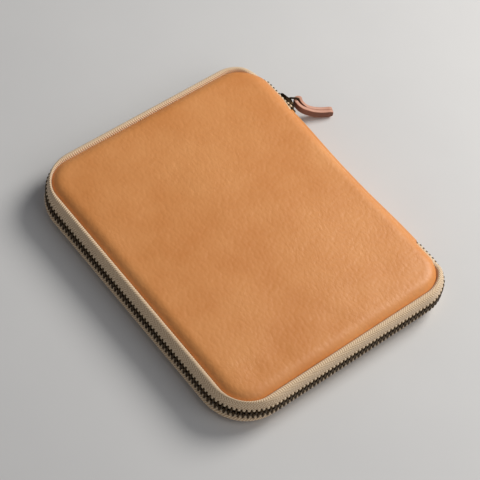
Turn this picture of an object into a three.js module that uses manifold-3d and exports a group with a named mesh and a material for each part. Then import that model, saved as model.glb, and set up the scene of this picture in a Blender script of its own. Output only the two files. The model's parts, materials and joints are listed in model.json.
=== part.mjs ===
// Zip-around leather case for fountain pens, lying closed on its back cover.
//
// Millimetres, +Z up, +X towards the spine, +Y towards the end where the closed slider is parked.
// The origin is at the centre of the back cover's flat outer face. The case is built about its
// mid-plane, halfway up its thickness, because the front half mirrors the back half there.

import * as THREE from 'three';
import { mergeVertices } from 'three/addons/utils/BufferGeometryUtils.js';
import Module from 'manifold-3d';

const wasm = await Module();
wasm.setup();

// ---- Driving dimensions -------------------------------------------------------------------

const caseThickness = 22.8;
const halfThickness = caseThickness / 2;

// The seam is the rounded rectangle where each cover's leather meets the zip tape.
const seamHalfWidth = 71.8;
const seamHalfLength = 89.9;
const seamCornerRadius = 16.7;
const seamHeight = 9.4;          // above and below the mid-plane

// A rail outside the seam turns each corner on a wider radius than the seam does.
const openSideEase = 2.2;        // growth of radius for each millimetre outside the seam
const spineSideEase = 1.2;

// Layers of a cover, as distances from the mid-plane.
const leatherThickness = 1.2;
const seamEdgeThickness = 0.6;   // the leather is pared thin where it is sewn
const paddingLayer = { inner: 8.9, shoulder: 9.8, outer: 10.1 };
const boardLayer = { inner: 8.2, outer: 8.8 };
const liningLayer = { inner: 7.5, outer: 8.1 };
const pocketLayer = { inner: 6.5, outer: 7.2 };

// The spine leather follows half of a superellipse from the front cover round to the back cover.
const spineRoot = 65.2;
const spineDepth = 8.7;
const spineExponent = 2.2;
const spineLeatherTop = 8.5;
const spineLiningTop = 6.6;
const spineLiningGap = 0.2;
const spineLiningThickness = 0.7;
const spineNearEnd = -60.5;
const spineFarEnd = 49;

// The zip: two tapes and two rows of teeth that meet at the mid-plane.
const teethInner = 3.4;          // outside the seam
const teethOuter = 5.6;
const teethTop = 2.9;
const teethGap = 0.15;           // half of the gap between the front row and the back row
const postSlot = 0.75;           // half of the slot that the slider's post runs in
const cutAngle = 41.8;           // where the zip passes from a cover to the spine, in degrees
const cutHalfGap = 0.6;
const nearStubEnd = -61.5;
const farStubEnd = 51;

// The slider, its link and the leather pull tab.
const chainX = seamHalfWidth + (teethInner + teethOuter) / 2;
const sliderRestY = 58;
const pivotOut = 3.6;            // from the middle of the chain to the link's pivot
const linkReach = 5.6;           // from the pivot to the bar that holds the tab
const linkRestAngle = -36;       // degrees, from straight out of the spine towards the near end
const tabLength = 22;
const tabHalfWidth = 2.5;
const tabDroop = 8.4;

// The pen loops on the back lining.
const loopCount = 5;
const loopPitch = 25;
const loopInnerHalfWidth = 6.8;
const loopBandThickness = 0.8;
const loopTop = 5.3;             // inside of a loop, above the mid-plane
const loopFloor = -7.4;
const loopBandWidth = 26;
const upperBandY = 38;
const lowerBandY = -40;

const cornerSteps = 7;

// ---- Materials ----------------------------------------------------------------------------

function material(color, roughness, metalness = 0) {
  return new THREE.MeshStandardMaterial({ color, roughness, metalness });
}

const tanLeather = material('#c98b57', 0.55);
const liningSuede = material('#b98d63', 0.95);
const loopLeather = material('#b57c4c', 0.6);
const tapeCotton = material('#cdb594', 0.9);
const antiqueBrass = material('#3a3226', 0.4, 0.9);
const tabLeather = material('#b48773', 0.6);
const foam = material('#d9d2c4', 1);
const board = material('#7d6a55', 0.9);

// ---- Geometry helpers ---------------------------------------------------------------------

const radians = THREE.MathUtils.degToRad;

function spaced(from, to, steps) {
  return Array.from({ length: steps + 1 }, (_, i) => from + ((to - from) * i) / steps);
}

// Turns the faces of a closed geometry outwards.
function faceOutwards(geometry) {
  const position = geometry.getAttribute('position');
  const index = geometry.getIndex();
  const [a, b, c] = [new THREE.Vector3(), new THREE.Vector3(), new THREE.Vector3()];
  let volume = 0;
  for (let i = 0; i < index.count; i += 3) {
    a.fromBufferAttribute(position, index.getX(i));
    b.fromBufferAttribute(position, index.getX(i + 1));
    c.fromBufferAttribute(position, index.getX(i + 2));
    volume += a.dot(b.cross(c));
  }
  if (volume < 0) {
    index.array.reverse();
  }
  geometry.computeVertexNormals();
  return geometry;
}

// A closed solid through rings that all have the same number of points. The flat outline gives
// the triangles of the two end caps.
function loft(rings, flatOutline) {
  const count = flatOutline.length;
  const positions = rings.flatMap((ring) => ring.flatMap((point) => point.toArray()));
  const faces = [];
  for (let r = 0; r + 1 < rings.length; r += 1) {
    for (let i = 0; i < count; i += 1) {
      const j = (i + 1) % count;
      const low = r * count;
      const high = low + count;
      faces.push(low + i, low + j, high + j, low + i, high + j, high + i);
    }
  }
  const clockwise = THREE.ShapeUtils.area(flatOutline) < 0;
  const last = (rings.length - 1) * count;
  for (const [p, q, s] of THREE.ShapeUtils.triangulateShape(flatOutline, [])) {
    const [second, third] = clockwise ? [q, s] : [s, q];
    faces.push(p, second, third);
    faces.push(last + p, last + third, last + second);
  }
  const geometry = new THREE.BufferGeometry();
  geometry.setAttribute('position', new THREE.Float32BufferAttribute(positions, 3));
  geometry.setIndex(faces);
  return faceOutwards(geometry);
}

// Corner of the rounded rectangle that lies `outside` the seam: its centre and its radius.
function cornerArc(signX, signY, outside) {
  const ease = signX > 0 ? spineSideEase : openSideEase;
  const radius = seamCornerRadius + (outside > 0 ? ease * outside : outside);
  return {
    x: signX * (seamHalfWidth + outside - radius),
    y: signY * (seamHalfLength + outside - radius),
    radius,
  };
}

function cornerPoint(signX, signY, outside, angle) {
  const arc = cornerArc(signX, signY, outside);
  return new THREE.Vector2(
    arc.x + arc.radius * Math.cos(radians(angle)),
    arc.y + arc.radius * Math.sin(radians(angle)),
  );
}

// The four corners in order round the case, each with the angle where its arc starts.
const corners = [
  { signX: 1, signY: 1, start: 0 },
  { signX: -1, signY: 1, start: 90 },
  { signX: -1, signY: -1, start: 180 },
  { signX: 1, signY: -1, start: 270 },
];

function roundedOutline(outside) {
  return corners.flatMap(({ signX, signY, start }) =>
    spaced(start, start + 90, cornerSteps).map((angle) => cornerPoint(signX, signY, outside, angle)),
  );
}

// A plate whose edge follows the seam: each level is an inset from the seam and a height.
function plate(levels) {
  const rings = levels.map(({ outside, z }) =>
    roundedOutline(outside).map((p) => new THREE.Vector3(p.x, p.y, z)),
  );
  return loft(rings, roundedOutline(levels[0].outside));
}

// A section (distance outside the seam, height) swept through stations round the rim.
function rimSweep(section, stations) {
  const rings = stations.map((station) =>
    section.map(([outside, z]) => {
      const p = station(outside);
      return new THREE.Vector3(p.x, p.y, z);
    }),
  );
  return loft(rings, section.map(([outside, z]) => new THREE.Vector2(outside, z)));
}

function cornerStations(corner, from, to, steps) {
  return spaced(from, to, steps).map((angle) => (outside) =>
    cornerPoint(corner.signX, corner.signY, outside, angle),
  );
}

// Stations round the three open sides of the case, between the two cuts beside the spine.
const openSideStations = [
  ...cornerStations(corners[0], cutAngle + cutHalfGap, 90, 4),
  ...cornerStations(corners[1], 90, 180, cornerSteps),
  ...cornerStations(corners[2], 180, 270, cornerSteps),
  ...cornerStations(corners[3], 270, 360 - cutAngle - cutHalfGap, 4),
];

function spineSideStation(y) {
  return (outside) => new THREE.Vector2(seamHalfWidth + outside, y);
}

const nearStubStations = [
  ...cornerStations(corners[3], 360 - cutAngle + cutHalfGap, 360, 4),
  spineSideStation(nearStubEnd),
];

const farStubStations = [
  spineSideStation(farStubEnd),
  ...cornerStations(corners[0], 0, cutAngle - cutHalfGap, 4),
];

function toManifold(geometry) {
  const bare = geometry.clone();
  bare.deleteAttribute('normal');
  bare.deleteAttribute('uv');
  const merged = mergeVertices(bare);
  return new wasm.Manifold(new wasm.Mesh({
    numProp: 3,
    vertProperties: new Float32Array(merged.getAttribute('position').array),
    triVerts: new Uint32Array(merged.getIndex().array),
  }));
}

function joined(geometries) {
  const solids = geometries.map(toManifold);
  const whole = solids.slice(1).reduce((sum, solid) => sum.add(solid), solids[0]);
  const mesh = whole.getMesh();
  const geometry = new THREE.BufferGeometry();
  geometry.setAttribute('position', new THREE.BufferAttribute(mesh.vertProperties, 3));
  geometry.setIndex(new THREE.BufferAttribute(mesh.triVerts, 1));
  geometry.computeVertexNormals();
  return geometry;
}

// A prism between two heights, from an outline of [x, y] points and optional holes.
function prism(outline, low, high, holes = []) {
  const shape = new THREE.Shape(outline.map(([x, y]) => new THREE.Vector2(x, y)));
  shape.holes = holes.map((hole) => new THREE.Path(hole.map(([x, y]) => new THREE.Vector2(x, y))));
  const geometry = new THREE.ExtrudeGeometry(shape, { depth: high - low, bevelEnabled: false });
  geometry.translate(0, 0, low);
  return geometry;
}

function named(name, geometry, look) {
  const mesh = new THREE.Mesh(geometry, look);
  mesh.name = name;
  return mesh;
}

// ---- Covers: side is 1 for the front cover and -1 for the back cover ------------------------

// The leather falls from its flat middle to a thin edge at the seam.
function coverLeather(side) {
  const inside = halfThickness - leatherThickness;
  const levels = [
    { outside: -12, z: halfThickness },
    { outside: -5.5, z: halfThickness - 0.2 },
    { outside: -2.2, z: halfThickness - 0.6 },
    { outside: -0.7, z: halfThickness - 1.2 },
    { outside: 0, z: seamHeight },
    { outside: 0, z: seamHeight - seamEdgeThickness },
    { outside: -1.6, z: seamHeight - seamEdgeThickness },
    { outside: -2.6, z: inside - 0.7 },
    { outside: -5.5, z: inside - 0.2 },
    { outside: -12, z: inside },
  ];
  return plate(levels.map(({ outside, z }) => ({ outside, z: side * z })));
}

function coverPadding(side) {
  return plate([
    { outside: -7, z: side * paddingLayer.inner },
    { outside: -7, z: side * paddingLayer.shoulder },
    { outside: -13, z: side * paddingLayer.outer },
  ]);
}

function flatLayer(side, layer, inset) {
  return plate([
    { outside: -inset, z: side * layer.inner },
    { outside: -inset, z: side * layer.outer },
  ]);
}

// Half of the zip tape: a flange held in the seam, a rolled rim, and a wall down to the teeth.
function tapeSection(side) {
  const section = [
    [-3, 8.7], [0.2, 8.7], [0.9, 9.1], [1.9, 8.8], [3.0, 7.8], [3.8, 6.2], [4.2, 4.6], [4.3, 3.1],
    [3.3, 3.1], [3.2, 4.4], [2.8, 5.8], [2.1, 7.0], [1.3, 7.8], [0.3, 8.2], [-3, 8.2],
  ];
  return section.map(([outside, z]) => [outside, side * z]);
}

// Beside the spine the tape has no flange, because the cover turns away from it there.
function stubTapeSection(side) {
  const section = [
    [2.0, 7.9], [3.0, 7.6], [3.8, 6.2], [4.2, 4.6], [4.3, 3.1],
    [3.3, 3.1], [3.2, 4.4], [2.8, 5.8], [2.1, 6.9],
  ];
  return section.map(([outside, z]) => [outside, side * z]);
}

function teethSection(side, gap) {
  const middle = (teethInner + teethOuter) / 2;
  const section = [
    [teethInner, gap], [teethOuter, gap], [teethOuter, 1.7], [middle + 0.6, teethTop],
    [middle - 0.6, teethTop], [teethInner, 1.7],
  ];
  return section.map(([outside, z]) => [outside, side * z]);
}

// Both rows of teeth in one strip, where the zip is closed for good.
function lockedTeethSection() {
  const upper = teethSection(1, 0).slice(2);
  const lower = teethSection(-1, 0).slice(2).reverse();
  return [...upper, ...lower];
}

// ---- Spine --------------------------------------------------------------------------------

function spineX(z) {
  const share = Math.abs(z) / halfThickness;
  return spineRoot + spineDepth * (1 - share ** spineExponent) ** (1 / spineExponent);
}

// A curved strip between two distances inside the spine's outer surface.
function spineStrip(outerInset, innerInset, top, nearEnd, farEnd) {
  const heights = spaced(-top, top, 12);
  const outer = heights.map((z) => [spineX(z) - outerInset, z]);
  const inner = heights.map((z) => [spineX(z) - innerInset, z]).reverse();
  const section = [...outer, ...inner];
  const rings = [nearEnd, farEnd].map((y) => section.map(([x, z]) => new THREE.Vector3(x, y, z)));
  return loft(rings, section.map(([x, z]) => new THREE.Vector2(x, z)));
}

// ---- Pen loops ----------------------------------------------------------------------------

// The band's profile across the case: flat feet on the lining and an arch over each pen.
function loopBand(centreY) {
  const centres = spaced(-(loopCount - 1) / 2, (loopCount - 1) / 2, loopCount - 1);
  const outerHalf = loopInnerHalfWidth + loopBandThickness;
  const springing = loopTop - loopInnerHalfWidth;
  const arch = (centreX, radius, footZ) => [
    [centreX - radius, footZ],
    ...spaced(180, 0, 8).map((angle) => [
      centreX + radius * Math.cos(radians(angle)),
      springing + radius * Math.sin(radians(angle)),
    ]),
    [centreX + radius, footZ],
  ];
  const bandEnd = (loopCount / 2) * loopPitch;
  const footTop = loopFloor + loopBandThickness;
  const top = centres.flatMap((c) => arch(c * loopPitch, outerHalf, footTop));
  const under = centres.flatMap((c) => arch(c * loopPitch, loopInnerHalfWidth, loopFloor)).reverse();
  const section = [
    [-bandEnd, loopFloor], [-bandEnd, footTop], ...top, [bandEnd, footTop], [bandEnd, loopFloor],
    ...under,
  ];
  const ends = [centreY - loopBandWidth / 2, centreY + loopBandWidth / 2];
  const rings = ends.map((y) => section.map(([x, z]) => new THREE.Vector3(x, y, z)));
  return loft(rings, section.map(([x, z]) => new THREE.Vector2(x, z)));
}

// The slip pocket's sheet, with its mouth towards the far end.
function slipPocket() {
  const [halfWidth, low, high, radius] = [64, -83, 30, 12];
  const bottom = [
    ...spaced(180, 270, 6).map((a) => [-halfWidth + radius, low + radius, a]),
    ...spaced(270, 360, 6).map((a) => [halfWidth - radius, low + radius, a]),
  ].map(([x, y, a]) => [x + radius * Math.cos(radians(a)), y + radius * Math.sin(radians(a))]);
  return prism([...bottom, [halfWidth, high], [-halfWidth, high]], pocketLayer.inner, pocketLayer.outer);
}

// ---- Slider: x is out of the spine, y along the chain and z across it -------------------------

const plateInner = { low: -2.8, high: -1.7 };
const plateOuter = { low: 1.6, high: 2.7 };

function sliderBody() {
  const shoulder = 5;
  const tail = 3.9;
  const outline = [
    [-6, -3.4], [-5, -shoulder], [0, -shoulder], [4.5, -tail], [6, -tail + 0.8],
    [6, tail - 0.8], [4.5, tail], [0, shoulder], [-5, shoulder], [-6, 3.4],
  ];
  const inner = prism(outline, plateInner.low, plateInner.high);
  const outer = prism(outline, plateOuter.low, plateOuter.high);
  const postOutline = [[-5.6, -0.45], [-3, -0.45], [-3, 0.45], [-5.6, 0.45]];
  const post = prism(postOutline, plateInner.high - 0.2, plateOuter.low + 0.2);
  const flange = (side) => prism(
    [[-5, side * 4.2], [0, side * 4.2], [0, side * shoulder], [-5, side * shoulder]],
    plateOuter.low - 0.9,
    plateOuter.low + 0.2,
  );
  const plates = joined([inner, outer, post, flange(1), flange(-1)]);
  // The plates are drawn in the (y, z) plane and stacked outwards.
  plates.applyMatrix4(new THREE.Matrix4().makeBasis(
    new THREE.Vector3(0, 1, 0),
    new THREE.Vector3(0, 0, 1),
    new THREE.Vector3(1, 0, 0),
  ));
  return joined([plates, sliderBridge()]);
}

// The arch on the outer plate that holds the link's pivot bar.
function sliderBridge() {
  const base = plateOuter.high - 0.2;
  const outline = [
    [base, -2.9], [4.5, -2.3], [5.3, -1.4], [5.3, 1.4], [4.5, 2.3], [base, 2.9],
    [base, 1.9], [4.4, 1.2], [4.4, -1.2], [base, -1.9],
  ];
  return prism(outline, -1.6, 1.6);
}

function rectangle(x0, x1, y0, y1) {
  return [[x0, y0], [x1, y0], [x1, y1], [x0, y1]];
}

// A flat ring in the (outwards, across) plane: one bar in the bridge, the other in the tab.
function linkRing() {
  const wire = 1.2;
  const half = wire / 2;
  const clear = tabHalfWidth + 0.3;
  const [low, high, side, chamfer] = [-half, linkReach + half, clear + wire, 1];
  const outer = [
    [low, -side + chamfer], [low + chamfer, -side], [high - chamfer, -side], [high, -side + chamfer],
    [high, side - chamfer], [high - chamfer, side], [low + chamfer, side], [low, side - chamfer],
  ];
  const hole = rectangle(half, linkReach - half, -clear, clear);
  const ring = prism(outer, -half, half, [hole]);
  ring.rotateX(Math.PI / 2);
  return ring;
}

// The tab: a strip folded round the link's bar, its two legs lying together, drooping outwards.
function pullTab() {
  const [loopOuter, loopInner, halfDouble, joinAt] = [3.1, 1.25, 2, 6.4];
  const arc = (radius, from, to) => spaced(from, to, 8).map((angle) => [
    radius * Math.cos(radians(angle)),
    radius * Math.sin(radians(angle)),
  ]);
  const straight = spaced(joinAt, tabLength - 1.2, 5);
  const outline = [
    ...arc(loopOuter, 60, 300),
    ...straight.map((x) => [x, -halfDouble]),
    [tabLength, -halfDouble + 0.8], [tabLength, halfDouble - 0.8],
    ...straight.map((x) => [x, halfDouble]).reverse(),
  ];
  const hole = [...arc(loopInner, 50, 310), [3.6, 0]];
  const tab = prism(outline, -tabHalfWidth, tabHalfWidth, [hole]);
  const position = tab.getAttribute('position');
  for (let i = 0; i < position.count; i += 1) {
    const along = Math.max(0, position.getX(i)) / tabLength;
    position.setZ(i, position.getZ(i) - tabDroop * along ** 1.3);
  }
  return tab;
}

// ---- The assembly ---------------------------------------------------------------------------

function place(object, x, y, z) {
  object.position.set(x, y, z);
  return object;
}

const backHalf = new THREE.Group().add(
  named('back_cover_leather', coverLeather(-1), tanLeather),
  named('back_padding', coverPadding(-1), foam),
  named('back_board', flatLayer(-1, boardLayer, 5), board),
  named('back_lining', flatLayer(-1, liningLayer, 2), liningSuede),
  named('upper_pen_loops', loopBand(upperBandY), loopLeather),
  named('lower_pen_loops', loopBand(lowerBandY), loopLeather),
  named('back_zip_tape', rimSweep(tapeSection(-1), openSideStations), tapeCotton),
  named('back_zip_teeth', rimSweep(teethSection(-1, teethGap), openSideStations), antiqueBrass),
);

const frontHalf = new THREE.Group().add(
  named('front_cover_leather', coverLeather(1), tanLeather),
  named('front_padding', coverPadding(1), foam),
  named('front_board', flatLayer(1, boardLayer, 5), board),
  named('front_lining', flatLayer(1, liningLayer, 2), liningSuede),
  named('front_slip_pocket', slipPocket(), loopLeather),
  named('front_zip_tape', rimSweep(tapeSection(1), openSideStations), tapeCotton),
  named('front_zip_teeth', rimSweep(teethSection(1, teethGap), openSideStations), antiqueBrass),
);

// A stop crimped across the end of the chain.
function stop(length, low, high) {
  const outline = rectangle(teethInner - 0.1, teethOuter + 0.1, 0, length);
  return prism(outline.map(([outside, y]) => [seamHalfWidth + outside, y]), low, high);
}

const stopLength = 2;
const stopGap = 0.4;
const bottomStop = place(
  named('bottom_stop', stop(stopLength, -teethTop, teethTop), antiqueBrass),
  0, nearStubEnd + stopGap, 0,
);
const topStopY = farStubEnd - stopGap - stopLength;
const topStopFront = named('top_stop_front', stop(stopLength, postSlot, teethTop), antiqueBrass);
const topStopBack = named('top_stop_back', stop(stopLength, -teethTop, -postSlot), antiqueBrass);

const spineLiningInset = leatherThickness + spineLiningGap;
const spine = new THREE.Group().add(
  named(
    'spine_leather',
    spineStrip(0, leatherThickness, spineLeatherTop, spineNearEnd, spineFarEnd - 0.6),
    tanLeather,
  ),
  named(
    'spine_lining',
    spineStrip(
      spineLiningInset,
      spineLiningInset + spineLiningThickness,
      spineLiningTop,
      spineNearEnd,
      spineFarEnd - 0.6,
    ),
    liningSuede,
  ),
  named('near_end_tape_front', rimSweep(stubTapeSection(1), nearStubStations), tapeCotton),
  named('near_end_tape_back', rimSweep(stubTapeSection(-1), nearStubStations), tapeCotton),
  named('near_end_teeth', rimSweep(lockedTeethSection(), nearStubStations), antiqueBrass),
  bottomStop,
  named('far_end_tape_front', rimSweep(stubTapeSection(1), farStubStations), tapeCotton),
  named('far_end_tape_back', rimSweep(stubTapeSection(-1), farStubStations), tapeCotton),
  named('far_end_teeth_front', rimSweep(teethSection(1, postSlot), farStubStations), antiqueBrass),
  named('far_end_teeth_back', rimSweep(teethSection(-1, postSlot), farStubStations), antiqueBrass),
  place(topStopFront, 0, topStopY, 0),
  place(topStopBack, 0, topStopY, 0),
);

const tabGroup = place(new THREE.Group(), linkReach, 0, 0);
tabGroup.add(named('pull_tab', pullTab(), tabLeather));

const linkGroup = place(new THREE.Group(), pivotOut, 0, 0);
linkGroup.rotation.z = radians(linkRestAngle);
linkGroup.add(named('pull_link', linkRing(), antiqueBrass), tabGroup);

const slider = place(new THREE.Group(), chainX, sliderRestY, 0);
slider.add(named('slider_body', sliderBody(), antiqueBrass), linkGroup);

const penCase = place(new THREE.Group(), 0, 0, halfThickness);
penCase.add(backHalf, spine, frontHalf, slider);

export default penCase;
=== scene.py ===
"""Looks of a zip-around leather case for fountain pens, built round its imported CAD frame."""

import json
import math

import bmesh
import bpy
import numpy as np
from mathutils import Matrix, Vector, noise


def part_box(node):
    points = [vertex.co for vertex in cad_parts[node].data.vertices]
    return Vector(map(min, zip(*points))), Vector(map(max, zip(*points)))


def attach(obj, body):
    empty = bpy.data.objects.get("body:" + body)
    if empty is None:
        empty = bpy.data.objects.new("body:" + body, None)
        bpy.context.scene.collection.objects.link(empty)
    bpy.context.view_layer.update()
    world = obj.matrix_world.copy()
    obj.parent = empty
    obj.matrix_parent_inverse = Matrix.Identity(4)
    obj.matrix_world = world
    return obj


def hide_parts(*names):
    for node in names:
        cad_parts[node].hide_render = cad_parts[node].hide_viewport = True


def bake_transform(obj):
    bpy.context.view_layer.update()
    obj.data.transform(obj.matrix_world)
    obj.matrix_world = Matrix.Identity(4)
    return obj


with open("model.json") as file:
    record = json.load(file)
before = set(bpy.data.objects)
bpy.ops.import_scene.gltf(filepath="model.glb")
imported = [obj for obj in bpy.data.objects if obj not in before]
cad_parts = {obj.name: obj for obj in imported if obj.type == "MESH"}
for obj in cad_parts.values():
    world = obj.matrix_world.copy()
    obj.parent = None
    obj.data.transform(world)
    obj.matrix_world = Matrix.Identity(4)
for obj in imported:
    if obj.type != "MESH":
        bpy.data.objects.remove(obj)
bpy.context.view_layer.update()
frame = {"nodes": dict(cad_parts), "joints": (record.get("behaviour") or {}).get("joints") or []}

# Everything is drawn in millimetres, with heights from the mid-plane halfway up the closed case.
MM = 0.001


def box_mm(node_name):
    """The lowest and highest corner of a node's box in the frame, in millimetres."""
    low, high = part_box(node_name)
    return np.array(low) / MM, np.array(high) / MM


def box_from_mid(node_name):
    """The corners of a node's box in millimetres, with their heights from the mid-plane."""
    low, high = box_mm(node_name)
    return low - [0, 0, MID], high - [0, 0, MID]


def joint_place(name):
    """A joint's point in millimetres, with its height from the mid-plane."""
    place = next(j["pos_m"] for j in frame["joints"] if j["name"] == name)
    return np.array(place) / MM - [0, 0, MID]


def half_name(side):
    """The half of the case above the mid-plane, side 1, or below it, side -1."""
    return "front" if side > 0 else "back"


# ---- Sizes read from the frame -----------------------------------

COVER_HIGH = box_mm("front_cover_leather")[1]
SPINE_LOW, SPINE_HIGH = box_mm("spine_leather")
SLIDER_LOW, SLIDER_HIGH = box_mm("slider_body")

# The mid-plane's height, which is also half the closed case's thickness.
MID = COVER_HIGH[2] / 2
HALF_THICKNESS = MID
HALF_WIDTH = COVER_HIGH[0]
HALF_LENGTH = COVER_HIGH[1]
SPINE_OUT = SPINE_HIGH[0]
SPINE_NEAR = SPINE_LOW[1]
SPINE_FAR = SPINE_HIGH[1]
NEAR_STUB_END = box_mm("near_end_teeth")[1][1]
FAR_STUB_END = box_mm("far_end_teeth_front")[0][1]

# ---- Sizes of the design -----------------------------------------

SEAM_HEIGHT = 7.9
SEAM_RADIUS = 16.7
OPEN_SIDE_EASE = 2.2
SPINE_SIDE_EASE = 1.2
CHAIN_OUT = 4.5
CHAIN_X = HALF_WIDTH + CHAIN_OUT

LEATHER_THICKNESS = 1.15
LEATHER_EDGE = 0.55
ROLL_WIDTH = 7.5
ROLL_POWER = 2.7
TURN_WIDTH = 9.0
DOME = 0.35
SKIVE_WIDTH = 2.5
SPINE_DEPTH = 8.7
SPINE_POWER = 2.2
TURN_LENGTH = 11.2
SPINE_JOIN_DEPTH = -7.0

# The pairs below are places along the case between which something sets in or fades out.
# The spine's face is hollow round its middle, and full over the slider's end.
SPINE_HOLLOW = 1.3
HOLLOW_MIDDLE = -6.0
HOLLOW_FADE = (5, 50)
FAR_BULGE = 1.9
BULGE_RISE = (44, 60)
BULGE_FALL = (76, 88)
# On the spine side, the leather passes from the zip's seam to the spine.
WRAP_NEAR = (-84.0, -67.0)
WRAP_FAR = (72.0, 87.0)
# Past the corners on the spine side, the leather pulls the zip in.
NEAR_PULL = (-88.0, -75.0)
NEAR_PULL_IN = 1.5
FAR_PULL = (73.5, 79.0)
FAR_RELEASE = (83.0, 92.0)
FAR_PULL_IN = 1.4
# The rails have as many points past a corner as this length needs.
STUB_LENGTH = 24

TOOTH_PITCH = 2.54
TAB_WIDTH = 5.0
TAB_LENGTH = 22.0
TAB_DROOP = 8.4
TAB_LAYER = 2.0
TAB_START_ANGLE = -50.0
TAB_END_ANGLE = 12.0
TAB_BEND = 3.8
TAB_TIP = 2.2


# ---- Outline of the seam and of the rails outside it -------------

# Each corner, from the far end on the spine side: its signs in x and y, and its first angle.
CORNERS = [(1, 1, 0), (-1, 1, 90), (-1, -1, 180), (1, -1, 270)]


def corner_arc(sign_x, sign_y, outside):
    """Centre and radius of a corner of the rounded rectangle `outside` the seam."""
    ease = SPINE_SIDE_EASE if sign_x > 0 else OPEN_SIDE_EASE
    radius = SEAM_RADIUS + (ease * outside if outside > 0 else outside)
    x = sign_x * (HALF_WIDTH + outside - radius)
    y = sign_y * (HALF_LENGTH + outside - radius)
    return x, y, radius


def straight(start, end, normal, steps):
    """Points between two ends, without the ends themselves."""
    (x1, y1), (x2, y2) = start[:2], end[:2]
    shares = [i / steps for i in range(1, steps)]
    return [[x1 + (x2 - x1) * t, y1 + (y2 - y1) * t, *normal] for t in shares]


def rim_rail(outside, spacing, near_end, far_end):
    """Points (x, y, normal x, normal y) along the zip, from the far end on the spine side round
    the open sides to the near end on the spine side. Every rail has the same number of them."""
    corner_steps = round(math.pi / 2 * (SEAM_RADIUS + CHAIN_OUT) / spacing)
    across = round(2 * (HALF_WIDTH - SEAM_RADIUS) / spacing)
    along = round(2 * (HALF_LENGTH - SEAM_RADIUS) / spacing)
    stub = round(STUB_LENGTH / spacing)
    near = [HALF_WIDTH + outside, near_end, 1, 0]
    rail = [[HALF_WIDTH + outside, far_end, 1, 0]]
    for (sign_x, sign_y, first_angle), steps in zip(CORNERS, (stub, across, along, across)):
        cx, cy, radius = corner_arc(sign_x, sign_y, outside)
        arc = []
        for i in range(corner_steps + 1):
            angle = math.radians(first_angle + 90 * i / corner_steps)
            normal = (math.cos(angle), math.sin(angle))
            arc.append([cx + radius * normal[0], cy + radius * normal[1], *normal])
        side_normal = [round(part) for part in arc[0][2:]]
        rail += straight(rail[-1], arc[0], side_normal, steps) + arc
    rail += straight(rail[-1], near, (1, 0), stub) + [near]
    rail = np.array(rail)
    y = rail[:, 1]
    near_pull = NEAR_PULL_IN * smooth_share(y, *NEAR_PULL) * (y < 0)
    far_pull = FAR_PULL_IN * hill(y, FAR_PULL, FAR_RELEASE)
    rail[:, 0] -= (near_pull + far_pull) * spine_side_share(rail[:, 2])
    return rail


def smooth_share(value, low, high):
    """0 below `low`, 1 above `high`, and a smooth rise between them."""
    share = np.clip((np.asarray(value, float) - low) / (high - low), 0, 1)
    return share * share * (3 - 2 * share)


def hill(value, rise, fall):
    """0 outside and 1 inside: it rises between the pair `rise` and falls between `fall`."""
    return smooth_share(value, *rise) * (1 - smooth_share(value, *fall))


def spine_side_share(outward_x):
    """0 where the rim faces the open sides, 1 where it faces the spine side."""
    return smooth_share(outward_x, 0.3, 0.9)


def wrap_share(y, outward_x):
    """1 along the spine side, where the leather hangs over the zip; 0 on the open sides."""
    return hill(y, WRAP_NEAR, WRAP_FAR) * spine_side_share(outward_x)


def spine_offset(y):
    """How far the spine's face stands out from its plain line."""
    from_middle = np.abs(np.asarray(y) - HOLLOW_MIDDLE)
    hollow = -SPINE_HOLLOW * (1 - smooth_share(from_middle, *HOLLOW_FADE))
    return hollow + FAR_BULGE * hill(y, BULGE_RISE, BULGE_FALL)


def beyond_corner(x, y):
    """How far a point lies past the start of the nearest corner, in x and in y."""
    return np.abs(x) - (HALF_WIDTH - SEAM_RADIUS), np.abs(y) - (HALF_LENGTH - SEAM_RADIUS)


def inset_from_seam(x, y):
    """How far a point lies inside the seam's rounded rectangle, and 0 outside it."""
    qx, qy = beyond_corner(x, y)
    beyond = np.hypot(np.maximum(qx, 0), np.maximum(qy, 0))
    within = np.minimum(np.maximum(qx, qy), 0)
    return np.maximum(SEAM_RADIUS - beyond - within, 0)


def outward_from_seam(x, y):
    """Unit direction, in plan, from a point to the nearest part of the seam."""
    qx, qy = beyond_corner(x, y)
    in_corner = (qx > 0) & (qy > 0)
    length = np.maximum(np.hypot(qx, qy), 1e-9)
    nx = np.where(in_corner, qx / length, np.where(qx >= qy, 1.0, 0.0))
    ny = np.where(in_corner, qy / length, np.where(qx >= qy, 0.0, 1.0))
    return nx * np.sign(x), ny * np.sign(y)


# ---- Mesh helpers ------------------------------------------------


def add_object(name, data):
    """A new object in the scene."""
    made = bpy.data.objects.new(name, data)
    bpy.context.scene.collection.objects.link(made)
    return made


def new_piece(name, points, faces, uvs=None):
    """A smooth mesh object from points in millimetres above the mid-plane."""
    placed = (np.asarray(points, float) + [0, 0, MID]) * MM
    mesh = bpy.data.meshes.new(name)
    mesh.from_pydata(placed.tolist(), [], [list(map(int, f)) for f in faces])
    if uvs is not None:
        layer = mesh.uv_layers.new(name="path")
        loop_vertices = np.zeros(len(mesh.loops), np.int32)
        mesh.loops.foreach_get("vertex_index", loop_vertices)
        layer.data.foreach_set("uv", np.asarray(uvs, np.float32)[loop_vertices].ravel())
    shade_smooth(mesh)
    bm = bmesh.new()
    bm.from_mesh(mesh)
    bmesh.ops.recalc_face_normals(bm, faces=bm.faces)
    bm.to_mesh(mesh)
    bm.free()
    mesh.update()
    return add_object(name, mesh)


def shade_smooth(mesh):
    """Marks every face of a mesh as smooth."""
    mesh.polygons.foreach_set("use_smooth", [True] * len(mesh.polygons))


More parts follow.
